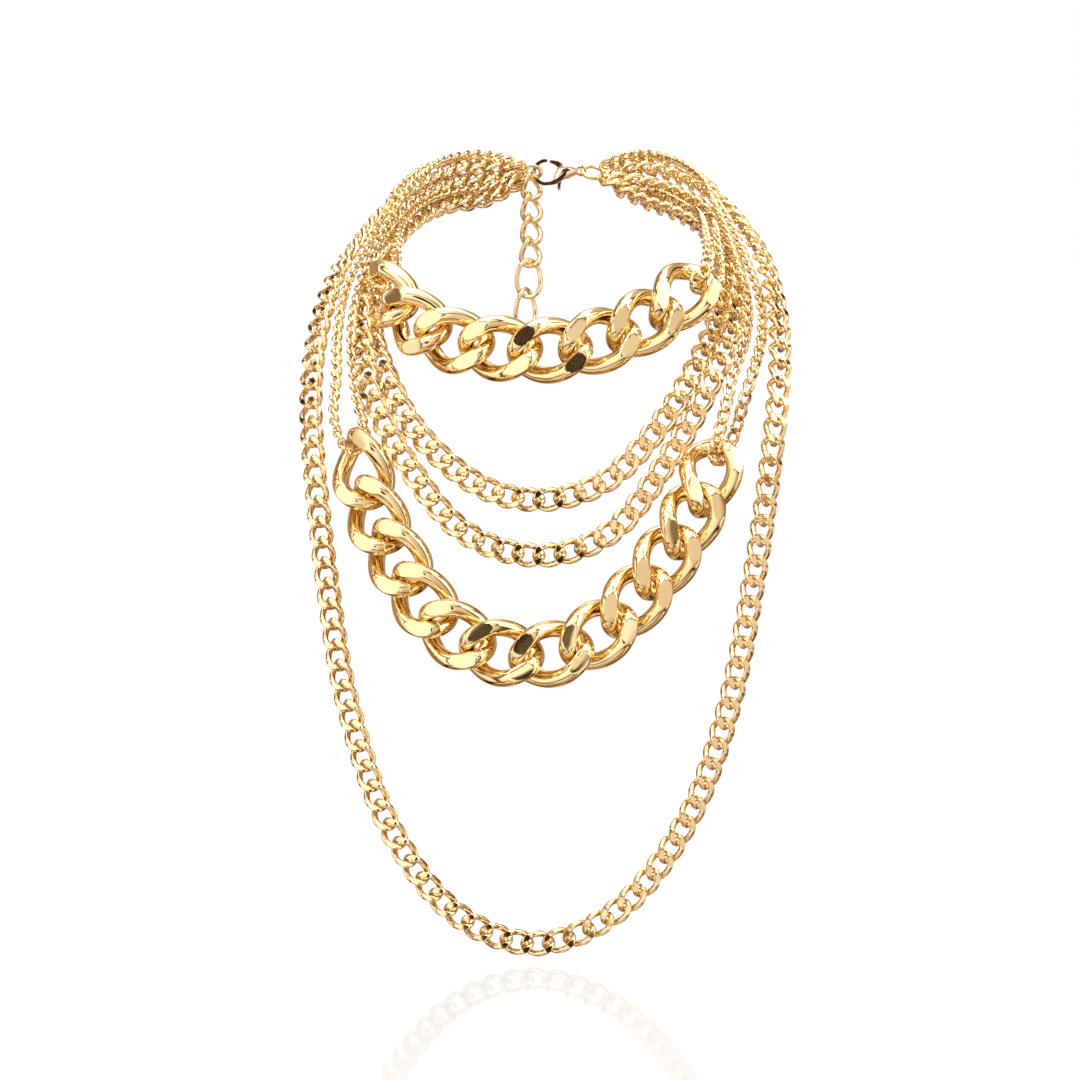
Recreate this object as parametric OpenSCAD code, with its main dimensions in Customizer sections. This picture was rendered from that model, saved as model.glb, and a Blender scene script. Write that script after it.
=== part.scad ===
// Multi strand necklace held up in its worn shape: three medium curb chains, two short chains of chunky
// ground curb links, four doubled fine chains that carry the chunky ones, a lobster clasp with a moving
// gate, two jump rings and a free extender chain. Millimetres. The nape is at the origin, the wearer
// would face the viewer towards -Y, and +Z is up.

/* [Whole necklace] */
// distance between the two sides of the long chain where it is widest, middle to middle
worn_width = 131; // [128:1:134]
// how far the lowest link of the long chain lies in front of the nape
front_reach = 131; // [128:1:134]
// how far down the long chain hangs below the nape
long_drop = 208; // [190:1:216]

/* [Chunky links] */
// outer length of a chunky link
big_length = 23.5; // [23.3:0.1:24]
// outer width of a chunky link
big_width = 18.2; // [17.7:0.1:18.6]
// wire thickness of a chunky link
big_wire = 4.4; // [3.9:0.1:4.5]
// how far a chunky link reaches to each side of its own middle plane once it is ground flat
big_ground = 4.3; // [3.6:0.1:4.4]

/* [Medium chains] */
// outer length of a link of the long chain
mid_length = 9.3; // [9.2:0.05:9.6]
// outer width of a link of the long chain
mid_width = 6.8; // [6.4:0.1:7]
// wire thickness of a link of the long chain
mid_wire = 1.55; // [1.3:0.05:1.6]
// how far a link of the long chain reaches to each side of its middle plane once it is ground flat
mid_ground = 1.4; // [1.2:0.05:1.6]
// width of the plain solid of the inner and the middle chain
strand_width = 5.8; // [5:0.1:6]
// thickness of the plain solid of the inner and the middle chain
strand_thick = 2; // [1.6:0.1:2.1]

/* [Fine chains] */
// width of the plain solid of a fine chain
fine_width = 2.6; // [2.2:0.1:2.7]
// thickness of the plain solid of a fine chain
fine_thick = 1.3; // [1.1:0.1:1.35]

/* [Jump rings] */
// wire thickness of both jump rings
ring_wire = 0.8; // [0.7:0.05:0.85]
// diameter of the left jump ring, middle of wire to middle of wire
left_ring_size = 6; // [5.8:0.1:6.2]
// diameter of the right jump ring, middle of wire to middle of wire
right_ring_size = 6.6; // [6.4:0.1:6.8]

/* [Extender chain] */
// wire thickness of the extender's links
ext_wire = 0.9; // [0.8:0.05:1]
// outer width of the extender's upper links
ext_width = 6.6; // [6.2:0.1:6.8]
// outer length of the extender's upper links
ext_length = 8.9; // [8.8:0.1:9.2]
// outer width of the two large links at the extender's end
end_width = 8; // [7.6:0.1:8.4]
// outer length of the two large links at the extender's end
end_length = 11.8; // [11.7:0.1:12]

/* [Clasp] */
// wire thickness of the hook
hook_wire = 1.4; // [1.2:0.1:1.5]
// diameter of the hook, middle of wire to middle of wire
hook_size = 6.6; // [6.5:0.1:6.8]
// wire thickness of the gate
gate_wire = 1.1; // [0.9:0.1:1.2]
// diameter of the rivet that the gate turns on
rivet = 0.9; // [0.7:0.1:1]

/* [Hidden] */
$fn = 40;
// number of links in each chain of real links
top_count = 8;
lower_count = 12;
long_count = 108;
// facets round a link and round its wire
big_round = 12;
big_sides = 6;
mid_round = 10;
mid_sides = 5;
// facets round the plain solid of a chain
strand_sides = 8;
// total twist of a curb link from one end to the other, in degrees
link_twist = 105;
// how square the outline of a link is: 2 is an ellipse
link_square = 2.4;
// samples of a route in each span between two points
span_steps = 12;
// the width, the reach and the drop that the routes below were laid out for
width_base = 131;
reach_base = 131;
drop_base = 208;
// height above which the long chain keeps its place when its drop changes
hang_from = -66;
// how far in front of the nape a change of width begins, and from where on it counts in full
widen_from = 10;
widen_full = 40;
// a half step of this length finds a route's direction
feel = 0.6;

// each point of a route: x, y, z, then the turn and the lean of the chain's face, both in degrees
// the chain's face looks to (sin turn * cos lean, -cos turn * cos lean, sin lean)
long_route = [
    [-10.8, -0.2, 0.2, -178, 48],
    [-19, -2, 1, -172, 60],
    [-29, -8, 0, -160, 58],
    [-38, -19, -3.5, -142, 58],
    [-47, -34, -10.5, -120, 55],
    [-55, -51, -20.5, -92, 42],
    [-61.5, -65, -32, -70, 30],
    [-65.5, -77, -48, -56, 18],
    [-66.5, -87, -66, -45, 10],
    [-64.5, -96, -88, -38, 8],
    [-61, -103, -115, -30, 8],
    [-55.5, -111, -145, -24, 8],
    [-44, -121, -177, -16, 8],
    [-26, -128, -200, -8, 8],
    [-3, -131, -208, 0, 8],
    [20, -128, -198, 6, 8],
    [38, -120, -175, 12, 8],
    [49, -112, -146, 18, 8],
    [56, -103, -113, 24, 8],
    [60.5, -95, -86, 32, 8],
    [63.5, -87, -63, 42, 10],
    [64.5, -77, -46, 55, 18],
    [62.5, -62, -30, 72, 30],
    [57, -46, -17, 94, 42],
    [49, -30, -8, 120, 52],
    [39.5, -17, -2, 142, 58],
    [29.5, -7, 0.8, 160, 62],
    [19.2, -0.8, -0.7, 178, 75]
];
middle_route = [
    [-13, -1, -2.5, -176, 60],
    [-20, -2.5, -2.9, -172, 60],
    [-29, -8.5, -4, -160, 58],
    [-37.5, -19.5, -7.5, -142, 58],
    [-45.5, -34.5, -14.5, -120, 55],
    [-51, -52, -25, -92, 40],
    [-53, -69, -37, -70, 25],
    [-52, -82, -50, -50, 14],
    [-49, -92, -63, -35, 10],
    [-40, -100, -80, -24, 8],
    [-24, -106, -99, -12, 8],
    [-3, -109, -105.5, 0, 8],
    [17, -107, -99, 8, 8],
    [32, -101, -80.5, 18, 8],
    [43.5, -93, -61, 30, 10],
    [50, -83, -46, 48, 18],
    [53, -67, -33, 68, 30],
    [51.5, -49, -21.5, 92, 42],
    [46.3, -32, -11.8, 118, 52],
    [38, -18.5, -6.5, 142, 58],
    [29, -9, -3.5, 160, 60],
    [21, -4, -3, 175, 60]
];
inner_route = [
    [-13, -2, -8, -176, 60],
    [-20, -3.5, -9, -172, 60],
    [-29, -9.5, -10, -160, 58],
    [-37, -21, -13.5, -142, 56],
    [-44, -37, -20.5, -120, 50],
    [-48.5, -55, -30, -95, 38],
    [-50.1, -72, -42.7, -69, 24],
    [-47, -86, -54, -42, 12],
    [-37, -97, -72, -24, 8],
    [-20, -103, -86.5, -12, 8],
    [-2, -106, -90.5, 0, 8],
    [16, -104, -85, 10, 8],
    [31, -99, -69.5, 20, 8],
    [41.5, -89, -53, 35, 12],
    [48, -75, -39, 55, 20],
    [49, -56, -27, 80, 34],
    [45.5, -38, -18.5, 110, 44],
    [38.5, -24, -13, 138, 52],
    [30, -13, -9.5, 158, 58],
    [21, -6, -8.5, 175, 60]
];
// centres of the chunky links lie evenly along these two
top_route = [
    [-44.6, -80, -35.6, -60, 5],
    [-38.8, -88.5, -41.7, -47, 6],
    [-28.4, -95, -47.1, -28, 5],
    [-14.5, -99.5, -49.5, -12, 5],
    [-0.5, -101, -50, 0, 5],
    [13, -99.5, -47.5, 8, 5],
    [25.5, -95.5, -42.5, 14, 5],
    [36, -90, -35.5, 20, 5]
];
lower_route = [
    [-52, -95, -83, -30, 8],
    [-48.5, -99, -94.5, -28, 8],
    [-42.5, -104, -106, -24, 8],
    [-36, -108.3, -116.6, -21, 8],
    [-27, -112, -126, -14, 8],
    [-15, -115, -131, -8, 8],
    [-2, -116, -132, 1, 8],
    [11, -115, -127.5, 5, 8],
    [21.5, -112, -119, 10, 8],
    [30.5, -108, -108, 14, 8],
    [38, -103.5, -96.5, 18, 8],
    [43.5, -98, -85, 20, 8]
];
// a doubled fine chain: down one strand, round the end of the chunky chain, back up the other strand
top_fine_left_route = [
    [-13, -1, -6, -176, 60],
    [-20, -2, -6.6, -172, 60],
    [-29.5, -8, -7.6, -158, 58],
    [-38.5, -19.5, -11, -142, 56],
    [-44, -38, -16.5, -118, 50],
    [-47, -56, -22.5, -95, 35],
    [-49.5, -66, -26, -80, 10],
    [-50.8, -72.5, -31.3, -78, -40],
    [-46.7, -76.4, -33.6, -80, -90],
    [-43.2, -73.4, -28, -83, -151],
    [-43.5, -62, -21.5, -90, -150],
    [-41.8, -42, -14, -118, -130],
    [-36.3, -22.5, -8.8, -142, -124],
    [-28.2, -11, -6, -158, -122],
    [-20, -5, -5.1, -172, -120],
    [-13, -4, -4.4, -176, -120]
];
top_fine_right_route = [
    [21, -2, -6.5, 176, 60],
    [29, -7.5, -7.2, 158, 60],
    [36.1, -17.4, -8.6, 140, 58],
    [44.4, -29.6, -14.4, 118, 52],
    [46, -44, -15, 95, 45],
    [47, -56, -16, 75, 35],
    [47.3, -68, -21.5, 50, 35],
    [47.2, -79, -29.5, 20, 40],
    [43.6, -83.6, -33.3, -6, 44],
    [41.4, -85.5, -33.8, -6, 75],
    [40.2, -87.8, -32.6, -6, 120],
    [40.9, -89.3, -30.2, -6, 165],
    [42.8, -89, -28.3, -6, 222],
    [44.2, -82, -23.5, 20, 220],
    [43.8, -70, -18.5, 50, 215],
    [43.5, -57, -14.5, 75, 215],
    [43.2, -45, -12.5, 95, 225],
    [42.5, -32, -11.8, 118, 232],
    [34.5, -19.4, -7, 140, 238],
    [27.5, -10.5, -5.8, 158, 240],
    [21, -5, -5, 176, 240]
];
lower_fine_left_route = [
    [-13, 0.7, 3.5, -176, 60],
    [-20, -0.8, 3.8, -170, 60],
    [-29.5, -6, 3, -158, 58],
    [-38, -18.5, 0.5, -142, 58],
    [-44.5, -36, -5.6, -120, 55],
    [-47.3, -44.5, -11.2, -105, 48],
    [-50.8, -52.5, -18.6, -92, 42],
    [-57.5, -68, -33.5, -70, 28],
    [-59.5, -78.5, -46, -56, 18],
    [-59.5, -85, -58, -46, 8],
    [-60, -90, -68, -60, 0],
    [-58, -93, -75, -70, -10],
    [-56, -94, -77.5, -70, -50],
    [-53.5, -93.5, -78.1, -68, -97],
    [-50.8, -92, -76.5, -70, -140],
    [-51.5, -90, -72, -60, -175],
    [-54, -86, -62, -46, -172],
    [-55.5, -79, -47, -56, -162],
    [-54, -69, -34, -70, -152],
    [-48.5, -54.5, -19.5, -92, -138],
    [-41.8, -39, -6, -120, -125],
    [-35.5, -20.5, 1, -142, -122],
    [-28.5, -9.5, 4.2, -158, -122],
    [-20, -3.6, 5, -170, -120],
    [-13, -2.2, 4.6, -176, -120]
];
lower_fine_right_route = [
    [19, -1, 4.8, 176, 60],
    [29.5, -6.5, 4, 160, 60],
    [39.9, -18, 1.9, 142, 58],
    [47.1, -33.2, -3.6, 121, 54],
    [49.4, -41.3, -9.8, 106, 48],
    [52.8, -48.3, -16.2, 92, 42],
    [58.8, -70, -34.5, 64, 26],
    [59.5, -79, -46, 54, 18],
    [56, -87, -58, 42, 10],
    [53.5, -88.5, -66, 20, 12],
    [51.5, -89, -73, -10, 20],
    [49, -91, -78.7, -22, 32],
    [47, -93.3, -80.9, -22, 60],
    [45.6, -95.8, -80.4, -22, 100],
    [45.2, -97.4, -78, -22, 150],
    [46, -97.2, -75, -22, 205],
    [48, -94.5, -68, 10, 200],
    [50.5, -89.5, -58, 38, 190],
    [55, -80.5, -46, 54, 198],
    [55.3, -71, -34.5, 64, 206],
    [50.1, -50, -15.3, 92, 222],
    [47.3, -43.1, -8.5, 106, 228],
    [45, -35.1, -2.8, 120, 234],
    [38, -20.1, 2.6, 142, 238],
    [28.5, -9.5, 5.2, 160, 240],
    [19, -3.8, 6, 176, 240]
];
// the extender's links from the top down: x, y, z of the middle, turn about the vertical, 1 for a large link
ext_spots = [
    [-5.6, 2, -3.8, 88, 0],
    [-5.6, 2, -10.6, -10, 0],
    [-5.6, 2, -17.4, 70, 0],
    [-5.6, 2, -24.2, -20, 0],
    [-6, 2, -32.4, 60, 1],
    [-7, 2, -41.4, -20, 1]
];
left_ring_at = [-5.5, 0, -0.3];
left_ring_tilt = 64;
right_ring_at = [13.4, 0, 0.2];
right_ring_tilt = -70;
// the clasp: middle of the hook, then the angles along it measured from +X towards +Z
hook_at = [-0.9, 0, 0.3];
hook_start = 80;
hook_sweep = 263;
gate_start = 14;
gate_sweep = 58;
rivet_at = [4.2, 0, 0.9];
rivet_play = 0.05;
boss_radius = 1;
boss_thick = 0.9;
slot_gap = 1.4;
barrel_from = 1.9;
barrel_to = 8.9;
barrel_z = 0.6;
barrel_fat = 1.5;
barrel_thin = 0.9;
slot_top = [1.2, 6];
slot_all = [3.1, 5.8];
slot_floor = -0.3;
slot_reach = 4;
eye_at = [10.1, 0, 0.5];
eye_size = 3;
eye_wire = 0.7;
spur_to = [3.1, 0, -4.4];
spur_wire = 0.8;
spur_tip = 0.55;

gold = [0.93, 0.73, 0.36];
pale_gold = [0.96, 0.82, 0.6];

// a point of the smooth curve through b and c, with neighbours a and d, at the fraction t of the span
function smooth_between(a, b, c, d, t) =
    0.5 * (2 * b + (c - a) * t + (2 * a - 5 * b + 4 * c - d) * t * t + (3 * b - a - 3 * c + d) * t * t * t);
// a row of a route, and past either end the row that carries its bend on
function row_of(rows, i) =
    let (n = len(rows))
    i < 0 ? 3 * rows[0] - 3 * rows[1] + rows[2]
    : i >= n ? 3 * rows[n - 1] - 3 * rows[n - 2] + rows[n - 3]
    : rows[i];
function curve_of(rows) = [
    for (i = [0 : len(rows) - 2])
        for (k = [0 : span_steps - 1])
            smooth_between(row_of(rows, i - 1), rows[i], rows[i + 1], row_of(rows, i + 2), k / span_steps),
    rows[len(rows) - 1]
];
function place_of(p) = [p[0], p[1], p[2]];
function unit(a) = a / norm(a);
// length along a curve up to each of its samples
function lengths_of(curve) = [
    for (i = 0, s = 0; i < len(curve); s = s + (i + 1 < len(curve) ? norm(place_of(curve[i + 1] - curve[i])) : 0), i = i + 1) s
];
function span_with(lengths, s, lo, hi) =
    hi - lo <= 1 ? lo
    : let (m = floor((lo + hi) / 2)) lengths[m] <= s ? span_with(lengths, s, m, hi) : span_with(lengths, s, lo, m);
function along(curve, lengths, s) =
    let (i = span_with(lengths, s, 0, len(lengths) - 1))
    let (k = (s - lengths[i]) / (lengths[i + 1] - lengths[i]))
    curve[i] * (1 - k) + curve[i + 1] * k;
function face_of(p) = [sin(p[3]) * cos(p[4]), -cos(p[3]) * cos(p[4]), sin(p[4])];
// position, direction, width direction and face direction of a point
function frame_of(p, direction) =
    let (u = unit(direction))
    let (f = face_of(p))
    let (w = unit(f - (f * u) * u))
    [place_of(p), u, cross(w, u), w];
// frames at even distances along a route
function even_frames(rows, count) =
    let (curve = curve_of(rows))
    let (lengths = lengths_of(curve))
    let (total = lengths[len(lengths) - 1])
    [
        for (i = [0 : count - 1])
            let (s = total * i / (count - 1))
            let (ahead = place_of(along(curve, lengths, min(total, s + feel))))
            let (behind = place_of(along(curve, lengths, max(0, s - feel))))
            frame_of(along(curve, lengths, s), ahead - behind)
    ];
// frames at a route's own points
function own_frames(rows) = [
    for (i = [0 : len(rows) - 1])
        frame_of(rows[i], place_of(row_of(rows, i + 1) - row_of(rows, i - 1)))
];
function into(frame, q) = frame[0] + q[0] * frame[1] + q[1] * frame[2] + q[2] * frame[3];

// a power that keeps the sign
function signed_power(a, e) = a < 0 ? -pow(-a, e) : pow(a, e);
// middle line of a twisted link: an oval whose cross direction turns from one end to the other
function link_line(t, length, width) =
    let (u = 0.5 * length * signed_power(cos(t), 2 / link_square))
    let (v = 0.5 * width * signed_power(sin(t), 2 / link_square))
    let (a = -link_twist * u / length)
    [u, v * cos(a), v * sin(a)];
function link_points(length, width, wire, ground, around, sides) = [
    for (i = [0 : around - 1])
        let (t = 360 * i / around)
        let (q = link_line(t, length - wire, width - wire))
        let (d = unit(link_line(t + 2, length - wire, width - wire) - link_line(t - 2, length - wire, width - wire)))
        let (s = unit(cross(d, [0, 0, 1])))
        let (n = cross(s, d))
        for (j = [0 : sides - 1])
            let (b = 360 * (j + 0.5) / sides)
            let (p = q + 0.5 * wire * (cos(b) * s + sin(b) * n))
            [p[0], p[1], max(-ground, min(ground, p[2]))]
];
function loop_faces(around, sides) = [
    for (i = [0 : around - 1])
        for (j = [0 : sides - 1])
            let (a = i * sides + j)
            let (b = i * sides + (j + 1) % sides)
            let (c = ((i + 1) % around) * sides + (j + 1) % sides)
            let (d = ((i + 1) % around) * sides + j)
            for (f = [[a, b, c], [a, c, d]]) f
];

module curb_link(frame, length, width, wire, ground, around, sides) {
    points = [for (q = link_points(length, width, wire, ground, around, sides)) into(frame, q)];
    polyhedron(points, loop_faces(around, sides));
}

module big_link(rows, count, number) {
    color(gold)
        curb_link(even_frames(worn(rows), count)[number - 1], big_length, big_width, big_wire, big_ground, big_round, big_sides);
}

// plain oval solid along a route, for a chain whose own links are too many to build
module strand(rows, width, thick) {
    frames = own_frames(worn(rows));
    count = len(frames);
    points = [
        for (frame = frames)
            for (j = [0 : strand_sides - 1])
                let (b = 360 * (j + 0.5) / strand_sides)
                into(frame, [0, 0.5 * width * cos(b), 0.5 * thick * sin(b)])
    ];
    walls = [
        for (i = [0 : count - 2])
            for (j = [0 : strand_sides - 1])
                let (a = i * strand_sides + j)
                let (b = i * strand_sides + (j + 1) % strand_sides)
                for (f = [[a, a + strand_sides, b], [b, a + strand_sides, b + strand_sides]]) f
    ];
    first = [for (j = [0 : strand_sides - 1]) j];
    last = [for (j = [0 : strand_sides - 1]) count * strand_sides - 1 - j];
    color(gold)
        polyhedron(points, concat(walls, [first, last]));
}

// a route with the width and the reach that are asked for: the nape keeps its width
function worn(rows) = [
    for (p = rows)
        let (share = max(0, min(1, (-p[1] - widen_from) / (widen_full - widen_from))))
        let (wide = 1 + share * (worn_width / width_base - 1))
        [p[0] * wide, p[1] * front_reach / reach_base, p[2], p[3], p[4]]
];
// the long chain's route with its drop: below the shoulders it stretches or shrinks evenly
function hung(rows) = [
    for (p = rows)
        p[2] < hang_from
        ? [p[0], p[1], hang_from + (p[2] - hang_from) * (long_drop + hang_from) / (drop_base + hang_from), p[3], p[4]]
        : p
];

// an oval ring with straight sides, its long way along Z
module oval_ring(length, width, wire) {
    bend = (width - wire) / 2;
    straight = length - width;
    for (side = [0, 1])
        rotate([0, side * 180, 0])
            translate([0, 0, straight / 2])
                rotate([90, 0, 0])
                    rotate_extrude(angle = 180)
                        translate([bend, 0])
                            circle(d = wire);
    for (side = [-1, 1])
        translate([side * bend, 0, -straight / 2])
            cylinder(h = straight, d = wire);
}

module round_ring(size, wire) {
    rotate([90, 0, 0])
        rotate_extrude()
            translate([size / 2, 0])
                circle(d = wire);
}

module left_ring() {
    color(gold)
        translate(left_ring_at)
            rotate([left_ring_tilt, 0, 0])
                round_ring(left_ring_size, ring_wire);
}

module right_ring() {
    color(gold)
        translate(right_ring_at)
            rotate([right_ring_tilt, 0, 0])
                round_ring(right_ring_size, ring_wire);
}

module extender_chain() {
    color(gold)
        for (spot = ext_spots)
            translate([spot[0], spot[1], spot[2]])
                rotate([0, 0, spot[3]])
                    if (spot[4] == 1)
                        oval_ring(end_length, end_width, ext_wire);
                    else
                        oval_ring(ext_length, ext_width, ext_wire);
}

// part of a round wire in the upright plane, from one angle on through a sweep
module bent_wire(size, wire, start, sweep) {
    rotate([90, 0, 0])
        rotate([0, 0, start])
            rotate_extrude(angle = sweep)
                translate([size / 2, 0])
                    circle(d = wire);
}

module clasp_body() {
    color(pale_gold) {
        difference() {
            union() {
                translate(hook_at)
                    bent_wire(hook_size, hook_wire, hook_start, hook_sweep);
                translate([barrel_from, 0, barrel_z])
                    rotate([0, 90, 0])
                        cylinder(h = barrel_to - barrel_from, r1 = barrel_fat, r2 = barrel_thin);
            }
            translate([slot_top[0], -slot_gap / 2, slot_floor])
                cube([slot_top[1] - slot_top[0], slot_gap, slot_reach]);
            translate([slot_all[0], -slot_gap / 2, -slot_reach])
                cube([slot_all[1] - slot_all[0], slot_gap, 2 * slot_reach]);
        }
        translate(rivet_at)
            rotate([90, 0, 0])
                cylinder(h = slot_gap + 0.6, d = rivet, center = true);
        translate(eye_at)
            round_ring(eye_size, eye_wire);
    }
}

module clasp_lever() {
    arm = spur_to - rivet_at;
    arm_angle = atan2(arm[0], arm[2]);
    gate_root = hook_at + hook_size / 2 * [cos(gate_start), 0, sin(gate_start)];
    root = gate_root - rivet_at;
    root_angle = atan2(root[0], root[2]);
    color(pale_gold)
        difference() {
            union() {
                translate(hook_at)
                    bent_wire(hook_size, gate_wire, gate_start, gate_sweep);
                translate(rivet_at)
                    rotate([90, 0, 0])
                        cylinder(h = boss_thick, r = boss_radius, center = true);
                translate(rivet_at)
                    rotate([0, root_angle, 0])
                        cylinder(h = norm(root), d = gate_wire);
                translate(rivet_at)
                    rotate([0, arm_angle, 0])
                        cylinder(h = norm(arm), d = spur_wire);
                translate(spur_to)
                    sphere(r = spur_tip);
            }
            translate(rivet_at)
                rotate([90, 0, 0])
                    cylinder(h = 3, d = rivet + 2 * rivet_play, center = true);
        }
}

module long_chain() {
    frames = even_frames(worn(hung(long_route)), long_count);
    color(gold)
        for (frame = frames)
            curb_link(frame, mid_length, mid_width, mid_wire, mid_ground, mid_round, mid_sides);
}

module middle_chain() {
    strand(middle_route, strand_width, strand_thick);
}

module inner_chain() {
    strand(inner_route, strand_width, strand_thick);
}

module top_fine_left() {
    strand(top_fine_left_route, fine_width, fine_thick);
}

module top_fine_right() {
    strand(top_fine_right_route, fine_width, fine_thick);
}

module lower_fine_left() {
    strand(lower_fine_left_route, fine_width, fine_thick);
}

module lower_fine_right() {
    strand(lower_fine_right_route, fine_width, fine_thick);
}

module top_link_01() { big_link(top_route, top_count, 1); }
module top_link_02() { big_link(top_route, top_count, 2); }
module top_link_03() { big_link(top_route, top_count, 3); }
module top_link_04() { big_link(top_route, top_count, 4); }
module top_link_05() { big_link(top_route, top_count, 5); }
module top_link_06() { big_link(top_route, top_count, 6); }
module top_link_07() { big_link(top_route, top_count, 7); }
module top_link_08() { big_link(top_route, top_count, 8); }
module lower_link_01() { big_link(lower_route, lower_count, 1); }
module lower_link_02() { big_link(lower_route, lower_count, 2); }
module lower_link_03() { big_link(lower_route, lower_count, 3); }
module lower_link_04() { big_link(lower_route, lower_count, 4); }
module lower_link_05() { big_link(lower_route, lower_count, 5); }
module lower_link_06() { big_link(lower_route, lower_count, 6); }
module lower_link_07() { big_link(lower_route, lower_count, 7); }
module lower_link_08() { big_link(lower_route, lower_count, 8); }
module lower_link_09() { big_link(lower_route, lower_count, 9); }
module lower_link_10() { big_link(lower_route, lower_count, 10); }
module lower_link_11() { big_link(lower_route, lower_count, 11); }
module lower_link_12() { big_link(lower_route, lower_count, 12); }

clasp_body();
clasp_lever();
left_ring();
right_ring();
extender_chain();
long_chain();
middle_chain();
inner_chain();
top_fine_left();
top_fine_right();
lower_fine_left();
lower_fine_right();
top_link_01();
top_link_02();
top_link_03();
top_link_04();
top_link_05();
top_link_06();
top_link_07();
top_link_08();
lower_link_01();
lower_link_02();
lower_link_03();
lower_link_04();
lower_link_05();
lower_link_06();
lower_link_07();
lower_link_08();
lower_link_09();
lower_link_10();
lower_link_11();
lower_link_12();
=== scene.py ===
"""Multi strand necklace, dressed for its photograph.

Every piece is a surface worked out with numpy in the row frame. Tables and sizes are in millimetres, and meshes are
made in metres. A route is a list of points x, y, z, with the turn and lean of a curb chain's face in degrees.
"""

import logging
from dataclasses import dataclass, field, replace
from enum import Enum
from typing import Optional, Sequence

import bpy
import numpy as np
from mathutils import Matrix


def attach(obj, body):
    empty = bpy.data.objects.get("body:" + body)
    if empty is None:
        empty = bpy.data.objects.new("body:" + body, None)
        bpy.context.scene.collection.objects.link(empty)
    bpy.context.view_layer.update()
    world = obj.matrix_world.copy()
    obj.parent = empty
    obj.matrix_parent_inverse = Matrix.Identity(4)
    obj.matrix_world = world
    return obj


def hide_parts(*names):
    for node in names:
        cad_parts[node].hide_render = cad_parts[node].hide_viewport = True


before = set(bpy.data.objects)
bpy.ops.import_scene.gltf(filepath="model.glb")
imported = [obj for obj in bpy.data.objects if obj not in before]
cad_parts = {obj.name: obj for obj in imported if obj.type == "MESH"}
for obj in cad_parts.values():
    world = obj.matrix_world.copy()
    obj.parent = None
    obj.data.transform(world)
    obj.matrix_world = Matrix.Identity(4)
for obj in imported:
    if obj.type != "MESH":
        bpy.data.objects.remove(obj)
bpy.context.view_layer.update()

log = logging.getLogger("necklace")
MM = 0.001
IMAGE_SIDE = 1080
BODY = "necklace"
GATE = "gate"


class Finish(Enum):
    """The gold finishes, each named as the record's material slot that it dresses."""

    CHUNKY = "gold_chunky"
    CHAIN = "gold_chain"
    FINE = "gold_fine"
    FINDINGS = "gold_findings"
    CLASP = "gold_clasp"


# Routes

LONG_ROUTE = (
    (-10.8, -0.2, 0.2, -178, 48), (-19, -2, 1, -172, 60), (-29, -8, 0, -160, 58), (-38, -19, -3.5, -142, 58),
    (-47, -34, -10.5, -120, 55), (-55, -51, -20.5, -92, 42), (-61.5, -65, -32, -70, 30), (-65.5, -77, -48, -56, 18),
    (-66.5, -87, -66, -45, 10), (-64.5, -96, -88, -38, 8), (-61, -103, -115, -30, 8), (-55.5, -111, -145, -24, 8),
    (-44, -121, -177, -16, 8), (-26, -128, -200, -8, 8), (-3, -131, -208, 0, 8), (20, -128, -198, 6, 8),
    (38, -120, -175, 12, 8), (49, -112, -146, 18, 8), (56, -103, -113, 24, 8), (60.5, -95, -86, 32, 8),
    (63.5, -87, -63, 42, 10), (64.5, -77, -46, 55, 18), (62.5, -62, -30, 72, 30), (57, -46, -17, 94, 42),
    (49, -30, -8, 120, 52), (39.5, -17, -2, 142, 58), (29.5, -7, 0.8, 160, 62), (19.2, -0.8, -0.7, 178, 75))
MIDDLE_ROUTE = (
    (-12, 0, -1.9, -178, 60), (-20, -2.5, -2.9, -172, 60), (-29, -8.5, -4, -160, 58), (-37.5, -19.5, -7.5, -142, 58),
    (-45.5, -34.5, -14.5, -120, 55), (-51, -52, -25, -92, 40), (-53, -69, -37, -70, 25), (-52, -82, -50, -50, 14),
    (-49, -92, -63, -35, 10), (-40, -100, -80, -24, 8), (-24, -106, -99, -12, 8), (-3, -109, -105.5, 0, 8),
    (17, -107, -99, 8, 8), (32, -101, -80.5, 18, 8), (43.5, -93, -61, 30, 10), (50, -83, -46, 48, 18),
    (53, -67, -33, 68, 30), (51.5, -49, -21.5, 92, 42), (46.3, -32, -11.8, 118, 52), (38, -18.5, -6.5, 142, 58),
    (29, -9, -3.5, 160, 60), (20.4, -3.2, -2.6, 175, 60))
INNER_ROUTE = (
    (-11.4, 0.4, -4.2, -178, 60), (-20, -3.5, -8.4, -172, 60), (-29, -9.5, -10, -160, 58), (-37, -21, -13.5, -142, 56),
    (-44, -37, -20.5, -120, 50), (-48.5, -55, -30, -95, 38), (-50.1, -72, -42.7, -69, 24), (-47, -86, -54, -42, 12),
    (-37, -97, -72, -24, 8), (-20, -103, -86.5, -12, 8), (-2, -106, -90.5, 0, 8), (16, -104, -85, 10, 8),
    (31, -99, -69.5, 20, 8), (41.5, -89, -53, 35, 12), (48, -75, -39, 55, 20), (49, -56, -27, 80, 34),
    (45.5, -38, -18.5, 110, 44), (38.5, -24, -13, 138, 52), (29, -12, -9.2, 160, 58), (19.8, -3.4, -4.6, 178, 60))
TOP_ROUTE = (
    (-44.6, -80, -35.6, -60, 5), (-38.8, -88.5, -41.7, -47, 6), (-28.4, -95, -47.1, -28, 5),
    (-14.5, -99.5, -49.5, -12, 5), (-0.5, -101, -50, 0, 5), (13, -99.5, -47.5, 8, 5), (25.5, -95.5, -42.5, 14, 5),
    (36, -90, -35.5, 20, 5))
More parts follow.
